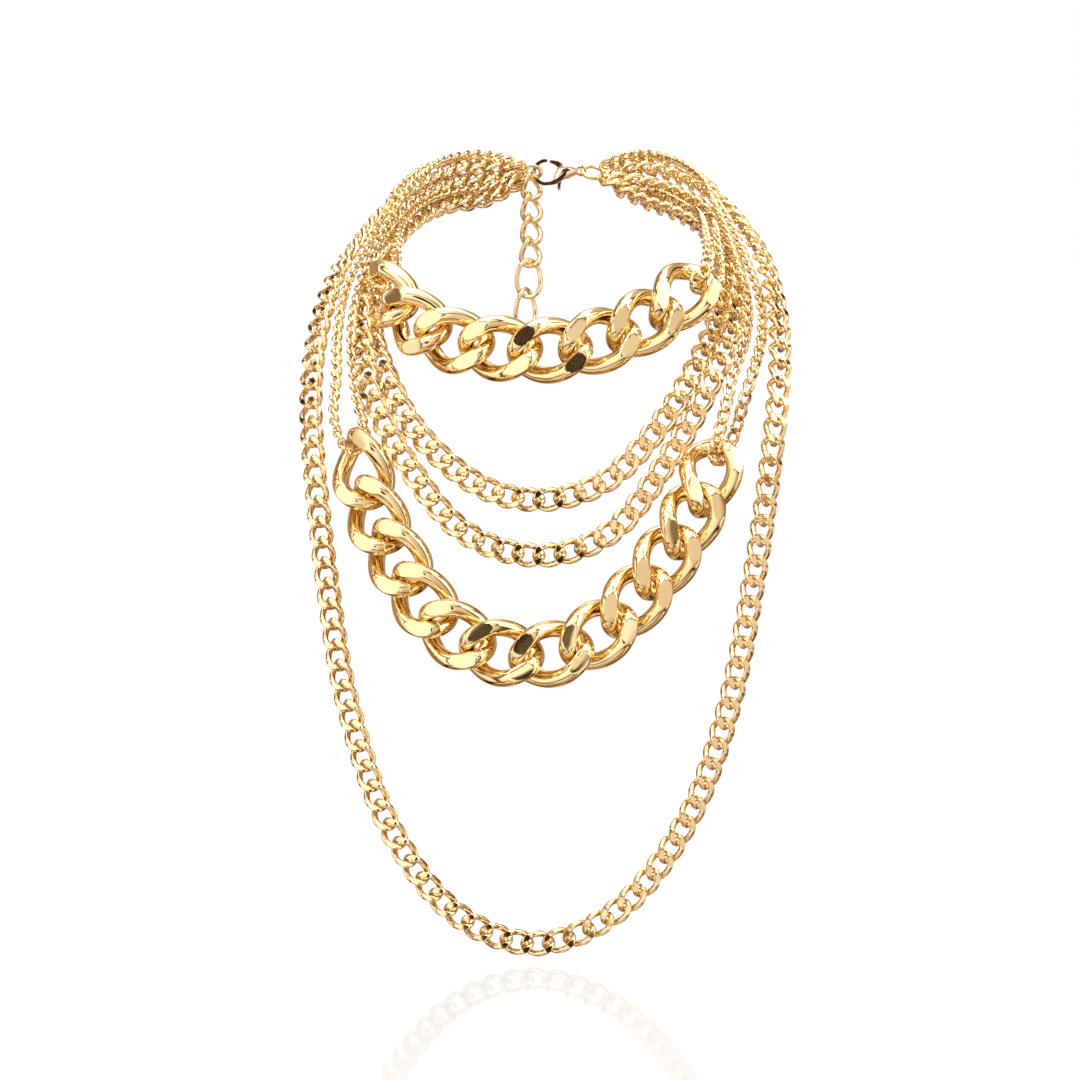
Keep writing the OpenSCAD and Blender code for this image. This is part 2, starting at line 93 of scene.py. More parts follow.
LOWER_ROUTE = (
    (-52, -95, -83, -30, 8), (-48.5, -99, -94.5, -28, 8), (-42.5, -104, -106, -24, 8), (-36, -108.3, -116.6, -21, 8),
    (-27, -112, -126, -14, 8), (-15, -115, -131, -8, 8), (-2, -116, -132, 1, 8), (11, -115, -127.5, 5, 8),
    (21.5, -112, -119, 10, 8), (30.5, -108, -108, 14, 8), (38, -103.5, -96.5, 18, 8), (43.5, -98, -85, 20, 8))
TOP_FINE_LEFT_ROUTE = (
    (-10, 1, -2.6, -178, 60), (-20, -2, -6.6, -172, 60), (-29.5, -8, -7.6, -158, 58), (-38.5, -19.5, -11, -142, 56),
    (-44, -38, -16.5, -118, 50), (-47, -56, -22.5, -95, 35), (-49.5, -66, -26, -80, 10),
    (-50.8, -72.5, -31.3, -78, -40), (-46.7, -76.4, -33.6, -80, -90), (-43.2, -73.4, -28, -83, -151),
    (-43.5, -62, -21.5, -90, -150), (-41.8, -42, -14, -118, -130), (-36.3, -22.5, -8.8, -142, -124),
    (-28.2, -11, -6, -158, -122), (-20, -5, -5.1, -172, -120), (-10.4, -0.6, -1.6, -178, -120))
TOP_FINE_RIGHT_ROUTE = (
    (17.6, 0.6, -2.2, 178, 60), (29, -7.5, -7.2, 158, 60), (36.1, -17.4, -8.6, 140, 58), (44.4, -29.6, -14.4, 118, 52),
    (46, -44, -15, 95, 45), (47, -56, -16, 75, 35), (47.3, -68, -21.5, 50, 35), (47.2, -79, -29.5, 20, 40),
    (43.6, -83.6, -33.3, -6, 44), (41.4, -85.5, -33.8, -6, 75), (40.2, -87.8, -32.6, -6, 120),
    (40.9, -89.3, -30.2, -6, 165), (42.8, -89, -28.3, -6, 222), (44.2, -82, -23.5, 20, 220),
    (43.8, -70, -18.5, 50, 215), (43.5, -57, -14.5, 75, 215), (43.2, -45, -12.5, 95, 225),
    (42.5, -32, -11.8, 118, 232), (34.5, -19.4, -7, 140, 238), (27.5, -10.5, -5.8, 158, 240),
    (18, -2.6, -1.8, 178, 240))
LOWER_FINE_LEFT_ROUTE = (
    (-9.6, -1, 1.4, -178, 60), (-20, -0.8, 3.8, -170, 60), (-29.5, -6, 3, -158, 58), (-38, -18.5, 0.5, -142, 58),
    (-44.5, -36, -5.6, -120, 55), (-47.3, -44.5, -11.2, -105, 48), (-50.8, -52.5, -18.6, -92, 42),
    (-57.5, -68, -33.5, -70, 28), (-59.5, -78.5, -46, -56, 18), (-59.5, -85, -58, -46, 8), (-60, -90, -68, -60, 0),
    (-58, -93, -75, -70, -10), (-56, -94, -77.5, -70, -50), (-53.5, -93.5, -78.1, -68, -97),
    (-50.8, -92, -76.5, -70, -140), (-51.5, -90, -72, -60, -175), (-54, -86, -62, -46, -172),
    (-55.5, -79, -47, -56, -162), (-54, -69, -34, -70, -152), (-48.5, -54.5, -19.5, -92, -138),
    (-41.8, -39, -6, -120, -125), (-35.5, -20.5, 1, -142, -122), (-28.5, -9.5, 4.2, -158, -122),
    (-20, -3.6, 5, -170, -120), (-9.4, -2.2, 2.4, -178, -120))
LOWER_FINE_RIGHT_ROUTE = (
    (17.4, 0.8, 1.8, 178, 60), (29.5, -6.5, 4, 160, 60), (39.9, -18, 1.9, 142, 58), (47.1, -33.2, -3.6, 121, 54),
    (49.4, -41.3, -9.8, 106, 48), (52.8, -48.3, -16.2, 92, 42), (58.8, -70, -34.5, 64, 26), (59.5, -79, -46, 54, 18),
    (56, -87, -58, 42, 10), (53.5, -88.5, -66, 20, 12), (51.5, -89, -73, -10, 20), (49, -91, -78.7, -22, 32),
    (47, -93.3, -80.9, -22, 60), (45.6, -95.8, -80.4, -22, 100), (45.2, -97.4, -78, -22, 150),
    (46, -97.2, -75, -22, 205), (48, -94.5, -68, 10, 200), (50.5, -89.5, -58, 38, 190), (55, -80.5, -46, 54, 198),
    (55.3, -71, -34.5, 64, 206), (50.1, -50, -15.3, 92, 222), (47.3, -43.1, -8.5, 106, 228),
    (45, -35.1, -2.8, 120, 234), (38, -20.1, 2.6, 142, 238), (28.5, -9.5, 5.2, 160, 240),
    (17.6, -1.6, 2.6, 178, 240))
EXTENDER_ROUTE = (
    (-5.6, 2, -3.8), (-5.6, 2, -10.6), (-5.6, 2, -17.4), (-5.8, 2, -24.2), (-6.2, 2, -32.4), (-7.2, 2, -41.2))


def smooth(rows: Sequence[Sequence[float]], steps: int = 16) -> np.ndarray:
    """Samples a smooth curve through a route's rows.

    Formula: between rows b and c, with neighbours a and d and the fraction t, the point is half of
    2b + (c - a) t + (2a - 5b + 4c - d) t^2 + (3b - a - 3c + d) t^3. Past an end the bend carries on:
    the extra row is 3 times the last minus 3 times the one before plus the one before that.

    Args:
        rows: the route's rows, each x, y, z, turn, lean.
        steps: samples in each span.

    Returns:
        An array of samples by five columns.
    """
    r = np.asarray(rows, float)
    r = np.vstack([3 * r[0] - 3 * r[1] + r[2], r, 3 * r[-1] - 3 * r[-2] + r[-3]])
    t = (np.arange(steps) / steps)[None, :, None]
    a, b, c, d = (r[k:len(r) - 3 + k, None] for k in range(4))
    curve = 0.5 * (2 * b + (c - a) * t + (2 * a - 5 * b + 4 * c - d) * t ** 2 + (3 * b - a - 3 * c + d) * t ** 3)
    return np.vstack([curve.reshape(-1, r.shape[1]), r[-2]])


@dataclass(frozen=True)
class Frames:
    """Places and directions along a route: one row for each of them.

    Attributes:
        at: middles, in millimetres.
        along: unit directions along the chain.
        across: unit directions across the chain's face.
        facing: unit normals of the chain's face.
    """

    at: np.ndarray
    along: np.ndarray
    across: np.ndarray
    facing: np.ndarray

    def carry(self, local: np.ndarray) -> np.ndarray:
        """Carries a shape's own points to every frame.

        Formula: middle + x along + y across + z facing.

        Args:
            local: points by three, in millimetres.

        Returns:
            frames by points by three, in millimetres.
        """
        axes = np.stack([self.along, self.across, self.facing], 1)
        return self.at[:, None] + np.einsum("pk,fkx->fpx", local, axes)

    def pick(self, start: int, stop: int) -> "Frames":
        """Returns the frames from start up to, and without, stop."""
        return Frames(self.at[start:stop], self.along[start:stop], self.across[start:stop], self.facing[start:stop])


def even_frames(rows: Sequence[Sequence[float]], count: int, feel: float = 0.6, ease: float = 0.0) -> Frames:
    """Frames at even distances along a route.

    Formula: the curve is measured by its chords, each middle is read off at an equal share of the whole length, and
    the direction is the step between two points a little ahead and behind. The face's normal is
    (sin turn cos lean, -cos turn cos lean, sin lean), made square to the direction. Turns under 100 degrees are
    lessened by the share ease, in full under 50 degrees.

    Args:
        rows: the route's rows.
        count: number of frames.
        feel: half the step that finds the direction, in millimetres.
        ease: how much less than its route the chain is turned on its way down the sides.

    Returns:
        The frames.
    """
    curve = smooth(rows)
    run = np.concatenate([[0.0], np.cumsum(np.linalg.norm(np.diff(curve[:, :3], axis=0), axis=1))])
    want = np.linspace(0.0, run[-1], count)

    def read(s: np.ndarray) -> np.ndarray:
        """Reads the route's columns at distances along it."""
        return np.stack([np.interp(np.clip(s, 0, run[-1]), run, curve[:, k]) for k in range(curve.shape[1])], 1)

    here = read(want)
    along = unit(read(want + feel)[:, :3] - read(want - feel)[:, :3])
    less = 1 - ease * np.clip((100 - np.abs(here[:, 3])) / 50, 0, 1)
    turn, lean = np.radians(here[:, 3] * less), np.radians(here[:, 4])
    face = np.stack([np.sin(turn) * np.cos(lean), -np.cos(turn) * np.cos(lean), np.sin(lean)], 1)
    facing = unit(face - np.sum(face * along, 1, keepdims=True) * along)
    return Frames(here[:, :3], along, np.cross(facing, along), facing)


def unit(v: np.ndarray) -> np.ndarray:
    """Scales vectors in the last axis to length one."""
    return v / np.linalg.norm(v, axis=-1, keepdims=True)


def route_length(rows: Sequence[Sequence[float]]) -> float:
    """Length of a route's smooth curve, in millimetres."""
    return float(np.linalg.norm(np.diff(smooth(rows)[:, :3], axis=0), axis=1).sum())


# Surfaces

def ring_faces(around: int, sides: int, loops: int = 1) -> np.ndarray:
    """Quads of closed tubes: the corner (i, j) joins (i, j + 1), (i + 1, j + 1) and (i + 1, j), both ways round.

    Args:
        around: rings along each closed tube.
        sides: points in each ring.
        loops: number of tubes, stored one after another.

    Returns:
        faces by four corner numbers, outward.
    """
    i, j = np.meshgrid(np.arange(around), np.arange(sides), indexing="ij")
    i2, j2 = (i + 1) % around, (j + 1) % sides
    quads = np.stack([i * sides + j, i * sides + j2, i2 * sides + j2, i2 * sides + j], -1).reshape(-1, 4)
    return (quads[None] + (np.arange(loops) * around * sides)[:, None, None]).reshape(-1, 4)


def swept_faces(rings: int, sides: int) -> list[tuple[int, ...]]:
    """Quads of an open tube, with one many-sided face on each end.

    Args:
        rings: rings along the tube.
        sides: points in each ring.

    Returns:
        The faces, outward for rings that turn from across towards facing.
    """
    i, j = np.meshgrid(np.arange(rings - 1), np.arange(sides), indexing="ij")
    j2 = (j + 1) % sides
    quads = np.stack([i * sides + j, i * sides + j2, (i + 1) * sides + j2, (i + 1) * sides + j], -1)
    faces = [tuple(q) for q in quads[..., ::-1].reshape(-1, 4).tolist()]
    return faces + [tuple(range(sides)), tuple(range(rings * sides - 1, (rings - 1) * sides - 1, -1))]


# how much more room the rings round a link get in its bends than at its ends
BEND_ROOM = 0.10
# half the step, in radians round the loop, that finds the wire's direction
DIRECTION_STEP = 0.02
# no cut comes nearer to the crown of the wire than this, in radians, so that every arc and chord keeps a width
STEEPEST_CUT = np.radians(84.0)
# the soldered joint: how far its two neighbours stand off, in degrees, and how much of the wire's radius is left
SEAM_STEP = 1.1
SEAM_SHARE = 0.93
# how near to a cut, in millimetres, a point counts as lying on it
CUT_TOUCH = 1e-4


@dataclass(frozen=True)
class LinkShape:
    """A curb link: an oval loop of round wire, twisted end to end and ground flat on both faces.

    Attributes:
        length, width: outer sizes, in millimetres.
        wire: wire thickness.
        ground: reach to each side of the middle plane after grinding.
        twist: twist from one end to the other, in degrees.
        squareness: exponent of the oval, 2 for an ellipse.
        around: rings round the loop.
        arc: points on each round side of the wire.
        flat: points on each flat, with both its edges.
        grind: slopes of the upper front flat along and across the link, then of the lower one, as grinding left them.
        seam: where the soldered joint runs round the wire, in degrees, or None for a link without one.
    """

    length: float
    width: float
    wire: float
    ground: float
    twist: float = 105.0
    squareness: float = 2.4
    around: int = 24
    arc: int = 4
    flat: int = 2
    grind: tuple[float, float, float, float] = (0.0, 0.0, 0.0, 0.0)
    seam: Optional[float] = None

    @property
    def sides(self) -> int:
        """Points in each ring of the wire."""
        return 2 * (self.arc + self.flat)

    def line(self, t: np.ndarray) -> np.ndarray:
        """The wire's middle line.

        Formula: x = half length times cos t, y = half width times sin t, both raised to 2 / squareness with their
        sign kept; then y turns about x by minus the twist times x / length.

        Args:
            t: angles in radians.

        Returns:
            points by three, in millimetres.
        """
        long, wide = self.length - self.wire, self.width - self.wire
        power = 2.0 / self.squareness
        x = 0.5 * long * np.sign(np.cos(t)) * np.abs(np.cos(t)) ** power
        y = 0.5 * wide * np.sign(np.sin(t)) * np.abs(np.sin(t)) ** power
        turn = -np.radians(self.twist) * x / long
        return np.stack([x, y * np.cos(turn), y * np.sin(turn)], -1)

    def front(self, points: np.ndarray, peak: np.ndarray) -> np.ndarray:
        """Height of the front cut over each point.

        Formula: ground + slope along times (x - peak x) + slope across times (y - peak y), with the upper flat's
        slopes and peak where y is above 0 and the lower flat's slopes and the opposite peak elsewhere.

        Args:
            points: points by three, in millimetres, with any leading axes.
            peak: x and y of the upper flat's middle.

        Returns:
            a height for each point, in millimetres.
        """
        upper = self.ground + (points[..., :2] - peak) @ np.array(self.grind[:2])
        lower = self.ground + (points[..., :2] + peak) @ np.array(self.grind[2:])
        return np.where(points[..., 1] > 0, upper, lower)

    def rings(self) -> tuple[np.ndarray, np.ndarray]:
        """Where the rings stand round the loop, and the wire's radius at each.

        Formula: even angles t, less BEND_ROOM sin 4t / 4. The ring nearest to the seam sinks in, and the two beside
        it close up round it.

        Returns:
            angles in radians and radii in millimetres.
        """
        t = 2 * np.pi * np.arange(self.around) / self.around
        t = t - BEND_ROOM * np.sin(4 * t) / 4
        radius = np.full(self.around, 0.5 * self.wire)
        if self.seam is not None:
            near = int(np.argmin(np.abs((t - np.radians(self.seam) + np.pi) % (2 * np.pi) - np.pi)))
            beside = (near + np.array([-1, 0, 1])) % self.around
            t[beside] = t[near] + np.radians([-SEAM_STEP, 0.0, SEAM_STEP])
            radius[near] *= SEAM_SHARE
        return t, radius

    def section(self, top: np.ndarray, low: np.ndarray) -> np.ndarray:
        """Where the points stand round the wire at each ring.

        Formula: the cuts' angles split the circle into the front flat's chord, the left arc, the back flat's chord
        and the right arc. Each chord has its two ends, and each arc only the points between them, evenly spaced.

        Args:
            top: angle at which the front cut meets each ring.
            low: angle at which the back cut meets it.

        Returns:
            rings by sides, angles in radians.
        """
        share = np.linspace(0, 1, self.arc + 2)[1:-1]
        chord = np.linspace(0, 1, self.flat)
        right = low[:, None] + (top - low)[:, None] * share
        upper = top[:, None] + (np.pi - 2 * top)[:, None] * chord
        left = np.pi - top[:, None] + (top - low)[:, None] * share
        lower = np.pi - low[:, None] + (np.pi + 2 * low)[:, None] * chord
        return np.concatenate([upper, left, lower, right], 1)

    def build(self) -> tuple[np.ndarray, np.ndarray]:
        """The link's own points and which of them lie on a ground flat.

        Formula: round each middle point the wire's circle is cut at the front cut's height and at - ground behind.

        Returns:
            points by three in millimetres, and 1 for each point on a flat and 0 for the others.
        """
        t, radius = self.rings()
        middle = self.line(t)
        along = unit(self.line(t + DIRECTION_STEP) - self.line(t - DIRECTION_STEP))
        side = unit(np.cross(along, (0.0, 0.0, 1.0)))
        rise = np.cross(side, along)
        peak = middle[np.argmax(middle[:, 2]), :2]
        peak = peak * np.sign(peak[1])
        reach = radius * rise[:, 2]
        steep = np.sin(STEEPEST_CUT)
        top = np.arcsin(np.clip((self.front(middle, peak) - middle[:, 2]) / reach, -1, steep))
        low = np.arcsin(np.clip((-self.ground - middle[:, 2]) / reach, -steep, 1))
        angle = self.section(top, low)[..., None]
        swing = np.cos(angle) * side[:, None] + np.sin(angle) * rise[:, None]
        points = middle[:, None] + radius[:, None, None] * swing
        front = self.front(points, peak)
        cut = (points[..., 2] >= front - CUT_TOUCH) | (points[..., 2] <= CUT_TOUCH - self.ground)
        points[..., 2] = np.clip(points[..., 2], -self.ground, front)
        return points.reshape(-1, 3), cut.reshape(-1).astype(float)


# edges that bend more than this, in degrees, stay sharp: on ground links, on the clasp and on plain wire
LINK_CREASE = 26.0
CLASP_CREASE = 32.0
SOFT_CREASE = 60.0


def add_mesh(name: str, points_mm: np.ndarray, faces: Sequence, flats: Optional[np.ndarray] = None,
             crease: float = LINK_CREASE) -> bpy.types.Object:
    """Puts a surface into a new object at the origin.

    Args:
        name: the object's name.
        points_mm: points by three, in millimetres.
        faces: corner numbers of each face.
        flats: a number for each point, kept as the point attribute ground.
        crease: edges that bend more than this, in degrees, stay sharp.

    Returns:
        The object, smooth shaded.
    """
    mesh = bpy.data.meshes.new(name)
    mesh.from_pydata((points_mm * MM).tolist(), [], faces if isinstance(faces, list) else faces.tolist())
    mesh.update()
    mesh.polygons.foreach_set("use_smooth", np.ones(len(mesh.polygons), bool))
    mesh.set_sharp_from_angle(angle=np.radians(crease))
    if flats is not None:
        mesh.attributes.new("ground", "FLOAT", "POINT").data.foreach_set("value", flats.astype(np.float32))
    obj = bpy.data.objects.new(name, mesh)
    bpy.context.scene.collection.objects.link(obj)
    return obj


# Finishes

@dataclass(frozen=True)
class Gold:
    """A polished gold finish.

    Attributes:
        slot: the record's slot that it dresses.
        color: base colour, linear.
        roughness: of the polish.
        flat_roughness: of the ground flats.
        ripple: strength of the faint unevenness that hand polishing leaves.
        ripple_scale: how fine it is, in waves per metre.
        lacquer: weight of the clear lacquer that whitens the highlights.
    """

    slot: Finish
    color: tuple[float, float, float]
    roughness: float = 0.10
    flat_roughness: float = 0.10
    ripple: float = 0.05
    ripple_scale: float = 900.0
    lacquer: float = 0.65

    def material(self) -> bpy.types.Material:
        """Builds the finish as a procedural material that reads Object coordinates and the ground attribute.

        Returns:
            The material.
        """
        mat = bpy.data.materials.new(self.slot.value)
        mat.use_nodes = True
        nodes, links = mat.node_tree.nodes, mat.node_tree.links
        shader = nodes["Principled BSDF"]
        shader.inputs["Base Color"].default_value = (*self.color, 1.0)
        shader.inputs["Metallic"].default_value = 1.0
        shader.inputs["Coat Weight"].default_value = self.lacquer
        shader.inputs["Coat IOR"].default_value = 1.8
        shader.inputs["Coat Roughness"].default_value = 0.05
        coords = nodes.new("ShaderNodeTexCoord")
        noise = nodes.new("ShaderNodeTexNoise")
        noise.inputs["Scale"].default_value = self.ripple_scale
        noise.inputs["Detail"].default_value = 1.5
        links.new(coords.outputs["Object"], noise.inputs["Vector"])
        bump = nodes.new("ShaderNodeBump")
        bump.inputs["Strength"].default_value = self.ripple
        bump.inputs["Distance"].default_value = 0.2 * MM
        links.new(noise.outputs["Fac"], bump.inputs["Height"])
        links.new(bump.outputs["Normal"], shader.inputs["Normal"])
        ground = nodes.new("ShaderNodeAttribute")
        ground.attribute_name = "ground"
        rough = nodes.new("ShaderNodeMapRange")
        rough.inputs["To Min"].default_value = self.roughness
        rough.inputs["To Max"].default_value = self.flat_roughness
        links.new(ground.outputs["Fac"], rough.inputs["Value"])
        links.new(rough.outputs["Result"], shader.inputs["Roughness"])
        return mat


FINISHES = {
    gold.slot: gold for gold in (
        Gold(Finish.CHUNKY, (0.93, 0.73, 0.365), roughness=0.11, flat_roughness=0.15, ripple=0.03,
             ripple_scale=260.0),
        Gold(Finish.CHAIN, (0.93, 0.73, 0.38), roughness=0.14, ripple=0.0),
        Gold(Finish.FINE, (0.92, 0.71, 0.35), roughness=0.16, ripple=0.0),
        Gold(Finish.FINDINGS, (0.94, 0.75, 0.40), roughness=0.12, ripple=0.0),
        Gold(Finish.CLASP, (0.93, 0.72, 0.52), roughness=0.10, ripple=0.0),
    )
}


class Wardrobe:
    """Makes each finish's material once and puts it on pieces."""

    def __init__(self) -> None:
        """Builds every finish's material."""
        self.materials = {slot: gold.material() for slot, gold in FINISHES.items()}

    def dress(self, obj: bpy.types.Object, finish: Finish, body: str, nodes: Sequence[str]) -> bpy.types.Object:
        """Gives a piece its finish and its body, and hides the CAD nodes that it replaces.

        Args:
            obj: the piece.
            finish: its finish.
            body: the body that it rides on.
            nodes: the CAD nodes that it replaces.

        Returns:
            The same piece.
        """
        obj.data.materials.append(self.materials[finish])
        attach(obj, body)
        if nodes:
            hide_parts(*nodes)
        log.info("%s: %d faces, %s", obj.name, len(obj.data.polygons), finish.value)
        return obj


# Sub-assemblies

@dataclass
class CurbChain:
    """A chain of equal curb links along a route, joined into one piece.

    Attributes:
        name: the piece's name.
        rows: the route.
        link: the link's shape.
        pitch: distance between neighbouring middles, in millimetres.
        finish: the gold finish.
        nodes: CAD nodes that it replaces.
        ease: how much less than its route it is turned on its way down the sides.
    """

    name: str
    rows: Sequence[Sequence[float]]
    link: LinkShape
    pitch: float
    finish: Finish
    nodes: Sequence[str]
    ease: float = 0.0

    def build(self, wardrobe: Wardrobe) -> bpy.types.Object:
        """Carries the link to every frame of the route and dresses the chain.

        Args:
            wardrobe: gives the finish.

        Returns:
            The chain.
        """
        count = round(route_length(self.rows) / self.pitch) + 1
        local, flats = self.link.build()
        points = even_frames(self.rows, count, ease=self.ease).carry(local)
        faces = ring_faces(self.link.around, self.link.sides, count)
        obj = add_mesh(self.name, points.reshape(-1, 3), faces, np.tile(flats, count))
        log.info("%s: %d links, %.2f mm apart", self.name, count, route_length(self.rows) / (count - 1))
        return wardrobe.dress(obj, self.finish, BODY, self.nodes)


@dataclass
class ChunkyChain:
    """A short chain of chunky ground links, each a piece of its own.

    Attributes:
        stem: start of the CAD nodes' names.
        rows: the route, whose ends are the first and the last link's middles.
        link: the link's shape.
        grind: slopes of each link's two front flats.
    """

    stem: str
    rows: Sequence[Sequence[float]]
    link: LinkShape
    grind: Sequence[tuple[float, float, float, float]]

    @property
    def count(self) -> int:
        """Number of links."""
        return len(self.grind)

    def build(self, wardrobe: Wardrobe) -> list[bpy.types.Object]:
        """Builds and dresses every link.

        Args:
            wardrobe: gives the finish.

        Returns:
            The links in order.
        """
        frames = even_frames(self.rows, self.count)
        faces = ring_faces(self.link.around, self.link.sides)
        made = []
        for number, grind in enumerate(self.grind):
            node = f"{self.stem}_{number + 1:02d}"
            local, flats = replace(self.link, grind=grind).build()
            obj = add_mesh(f"{node}_polished", frames.pick(number, number + 1).carry(local)[0], faces, flats)
            made.append(wardrobe.dress(obj, Finish.CHUNKY, BODY, [node]))
        return made


@dataclass
class Extender:
    """The free chain of open twisted links under the left ring, its last two links larger.

    Attributes:
        small, large: the two link shapes.
        large_from: number of the first large link, counted from 0.
        turns: how far each link is turned about the vertical, in degrees.
        leans: how far each link then leans about Y, in degrees.
    """

    small: LinkShape = LinkShape(10.1, 7.5, 1.6, 9.0, twist=-110, squareness=2.9, around=36, arc=4, flat=2)
    large: LinkShape = LinkShape(12.6, 8.8, 1.35, 9.0, twist=-50, squareness=2.3, around=36, arc=4, flat=2)
    large_from: int = 4
    turns: tuple[float, ...] = (48, 40, 36, 34, 14, 40)
    leans: tuple[float, ...] = (-8, -9, -8, -6, 0, 0)

    def build(self, wardrobe: Wardrobe) -> bpy.types.Object:
        """Builds and dresses the extender.

        Args:
            wardrobe: gives the finish.

        Returns:
            The extender.
        """
        points, faces, first = [], [], 0
        for number, middle in enumerate(EXTENDER_ROUTE):
            shape = self.large if number >= self.large_from else self.small
            a = np.radians(self.turns[number])
            lean = roll_about_y(self.leans[number]).T
            along = np.array([[0, 0, -1.0]]) @ lean
            facing = np.array([[-np.sin(a), np.cos(a), 0]]) @ lean
            at = Frames(np.array([middle]), along, np.cross(facing, along), facing)
            local, _ = shape.build()
            points.append(at.carry(local)[0])
            faces.append(ring_faces(shape.around, shape.sides) + first)
            first += len(local)
        obj = add_mesh("extender_links", np.vstack(points), np.vstack(faces), crease=SOFT_CREASE)
        return wardrobe.dress(obj, Finish.FINDINGS, BODY, ["extender_chain"])


@dataclass
class JumpRing:
    """A round jump ring.

    Attributes:
        name, node: the piece's name and the CAD node that it replaces.
        centre: its middle.
        size: diameter at the middle of the wire.
        wire: wire thickness.
        tilt: turn about X from the upright plane, in degrees.
        roll: turn about Y after it, in degrees.
        around, sides: rings and points in a ring.
    """

    name: str
    node: str
    centre: tuple[float, float, float]
    size: float
    wire: float
    tilt: float
    roll: float = 0.0
    around: int = 48
    sides: int = 12

    def build(self, wardrobe: Wardrobe) -> bpy.types.Object:
        """Builds and dresses the ring.

        Args:
            wardrobe: gives the finish.

        Returns:
            The ring.
        """
        turn = roll_about_y(self.roll) @ tilt_about_x(self.tilt)
        points = torus_points(self.size, self.wire, self.around, self.sides) @ turn.T + self.centre
        obj = add_mesh(self.name, points, ring_faces(self.around, self.sides), crease=SOFT_CREASE)
        return wardrobe.dress(obj, Finish.FINDINGS, BODY, [self.node])


def torus_points(size: float, wire: float, around: int, sides: int) -> np.ndarray:
    """Points of a ring in the upright XZ plane.

    Formula: ((R + r cos b) cos a, r sin b, (R + r cos b) sin a), with R half the size and r half the wire.

    Args:
        size: diameter at the middle of the wire.
        wire: wire thickness.
        around: rings.
        sides: points in a ring.

    Returns:
        points by three, in millimetres.
    """
    a, b = np.meshgrid(2 * np.pi * np.arange(around) / around, 2 * np.pi * np.arange(sides) / sides, indexing="ij")
    reach = size / 2 + wire / 2 * np.cos(b)
    return np.stack([reach * np.cos(a), wire / 2 * np.sin(b), reach * np.sin(a)], -1).reshape(-1, 3)


def tilt_about_x(degrees: float) -> np.ndarray:
    """Matrix that turns column vectors about X."""
    a = np.radians(degrees)
    return np.array([[1, 0, 0], [0, np.cos(a), -np.sin(a)], [0, np.sin(a), np.cos(a)]])


def roll_about_y(degrees: float) -> np.ndarray:
    """Matrix that turns column vectors about Y."""
    a = np.radians(degrees)
    return np.array([[np.cos(a), 0, np.sin(a)], [0, 1, 0], [-np.sin(a), 0, np.cos(a)]])


def swept_points(path: np.ndarray, rise: np.ndarray, depth: np.ndarray, sides: int, cap: float,
                 slant: np.ndarray) -> np.ndarray:
    """Points of a tube of changing size along a path in the upright XZ plane.

    Formula: point + rise cos b times the in-plane normal + (depth s + slant rise cos b) times Y, where s is sin b kept
    between - cap and cap, so that a cap under 1 cuts the front and the back flat.

    Args:
        path: points by two, x and z in millimetres.
        rise: half the size in the plane at each point.
        depth: half the size across the plane, before the cut, at each point.
        sides: points in a ring.
        cap: share of the depth at which the front and the back are flat.
        slant: slope of both flats across the tube at each point.

    Returns:
        points by three, in millimetres.
    """
    along = unit(np.gradient(path, axis=0))
    normal = np.stack([-along[:, 1], along[:, 0]], 1)
    b = 2 * np.pi * np.arange(sides) / sides
    reach = rise[:, None] * np.cos(b)
    x = path[:, None, 0] + reach * normal[:, None, 0]
    z = path[:, None, 1] + reach * normal[:, None, 1]
    y = depth[:, None] * np.clip(np.sin(b), -cap, cap) + slant[:, None] * reach
    return np.stack([x, y, z], -1).reshape(-1, 3)


def joined(parts: Sequence[tuple[np.ndarray, list]]) -> tuple[np.ndarray, list[tuple[int, ...]]]:
    """Puts several surfaces into one.

    Args:
        parts: each surface's points by three and its faces.

    Returns:
        all points by three, and all faces with their corner numbers moved on.
    """
    points, faces, first = [], [], 0
    for some, those in parts:
        points.append(some)
        faces += [tuple(int(i) + first for i in f) for f in those]
        first += len(some)
    return np.vstack(points), faces


# columns: x, z, half height, half depth before the cut; all in millimetres
CLAW_ROWS = (
    (0.4, -3.45, 0.66, 1.55), (1.7, -3.1, 0.78, 1.6), (3.0, -2.3, 0.85, 1.65), (4.2, -1.2, 0.75, 1.67),
    (5.05, 0.0, 0.52, 1.65), (5.6, 1.3, 0.14, 1.55))
BODY_ROWS = (
    (1.2, -3.2, 0.45, 0.5), (2.3, -2.35, 1.1, 0.75), (3.5, -1.0, 1.8, 0.9), (4.7, 0.05, 2.4, 1.0),
    (6.0, 0.3, 2.2, 1.0), (7.6, 0.3, 1.5, 0.85), (8.6, 0.28, 0.95, 0.65))
GATE_ROWS = ((0.25, 3.2, 0.5, 0.8), (1.5, 2.95, 0.68, 0.95), (2.8, 2.35, 0.85, 1.1), (4.2, 0.9, 0.9, 1.0))
SPUR_ROWS = ((4.2, 0.9, 0.5, 0.7), (3.4, -2.2, 0.5, 0.6), (3.05, -4.3, 0.52, 0.6), (3.2, -5.6, 0.34, 0.55))
# the flat front starts where sin b is that of 45 degrees, which is a corner of the ring of points
FLAT_FRONT = float(np.sin(np.radians(45)))
# along the claw's bend, in degrees: where the slant starts, is full, starts to go and is gone
SLANT_ANGLES = (100, 122, 200, 222)
# samples between two rows of the clasp's tables
CLASP_STEPS = 8


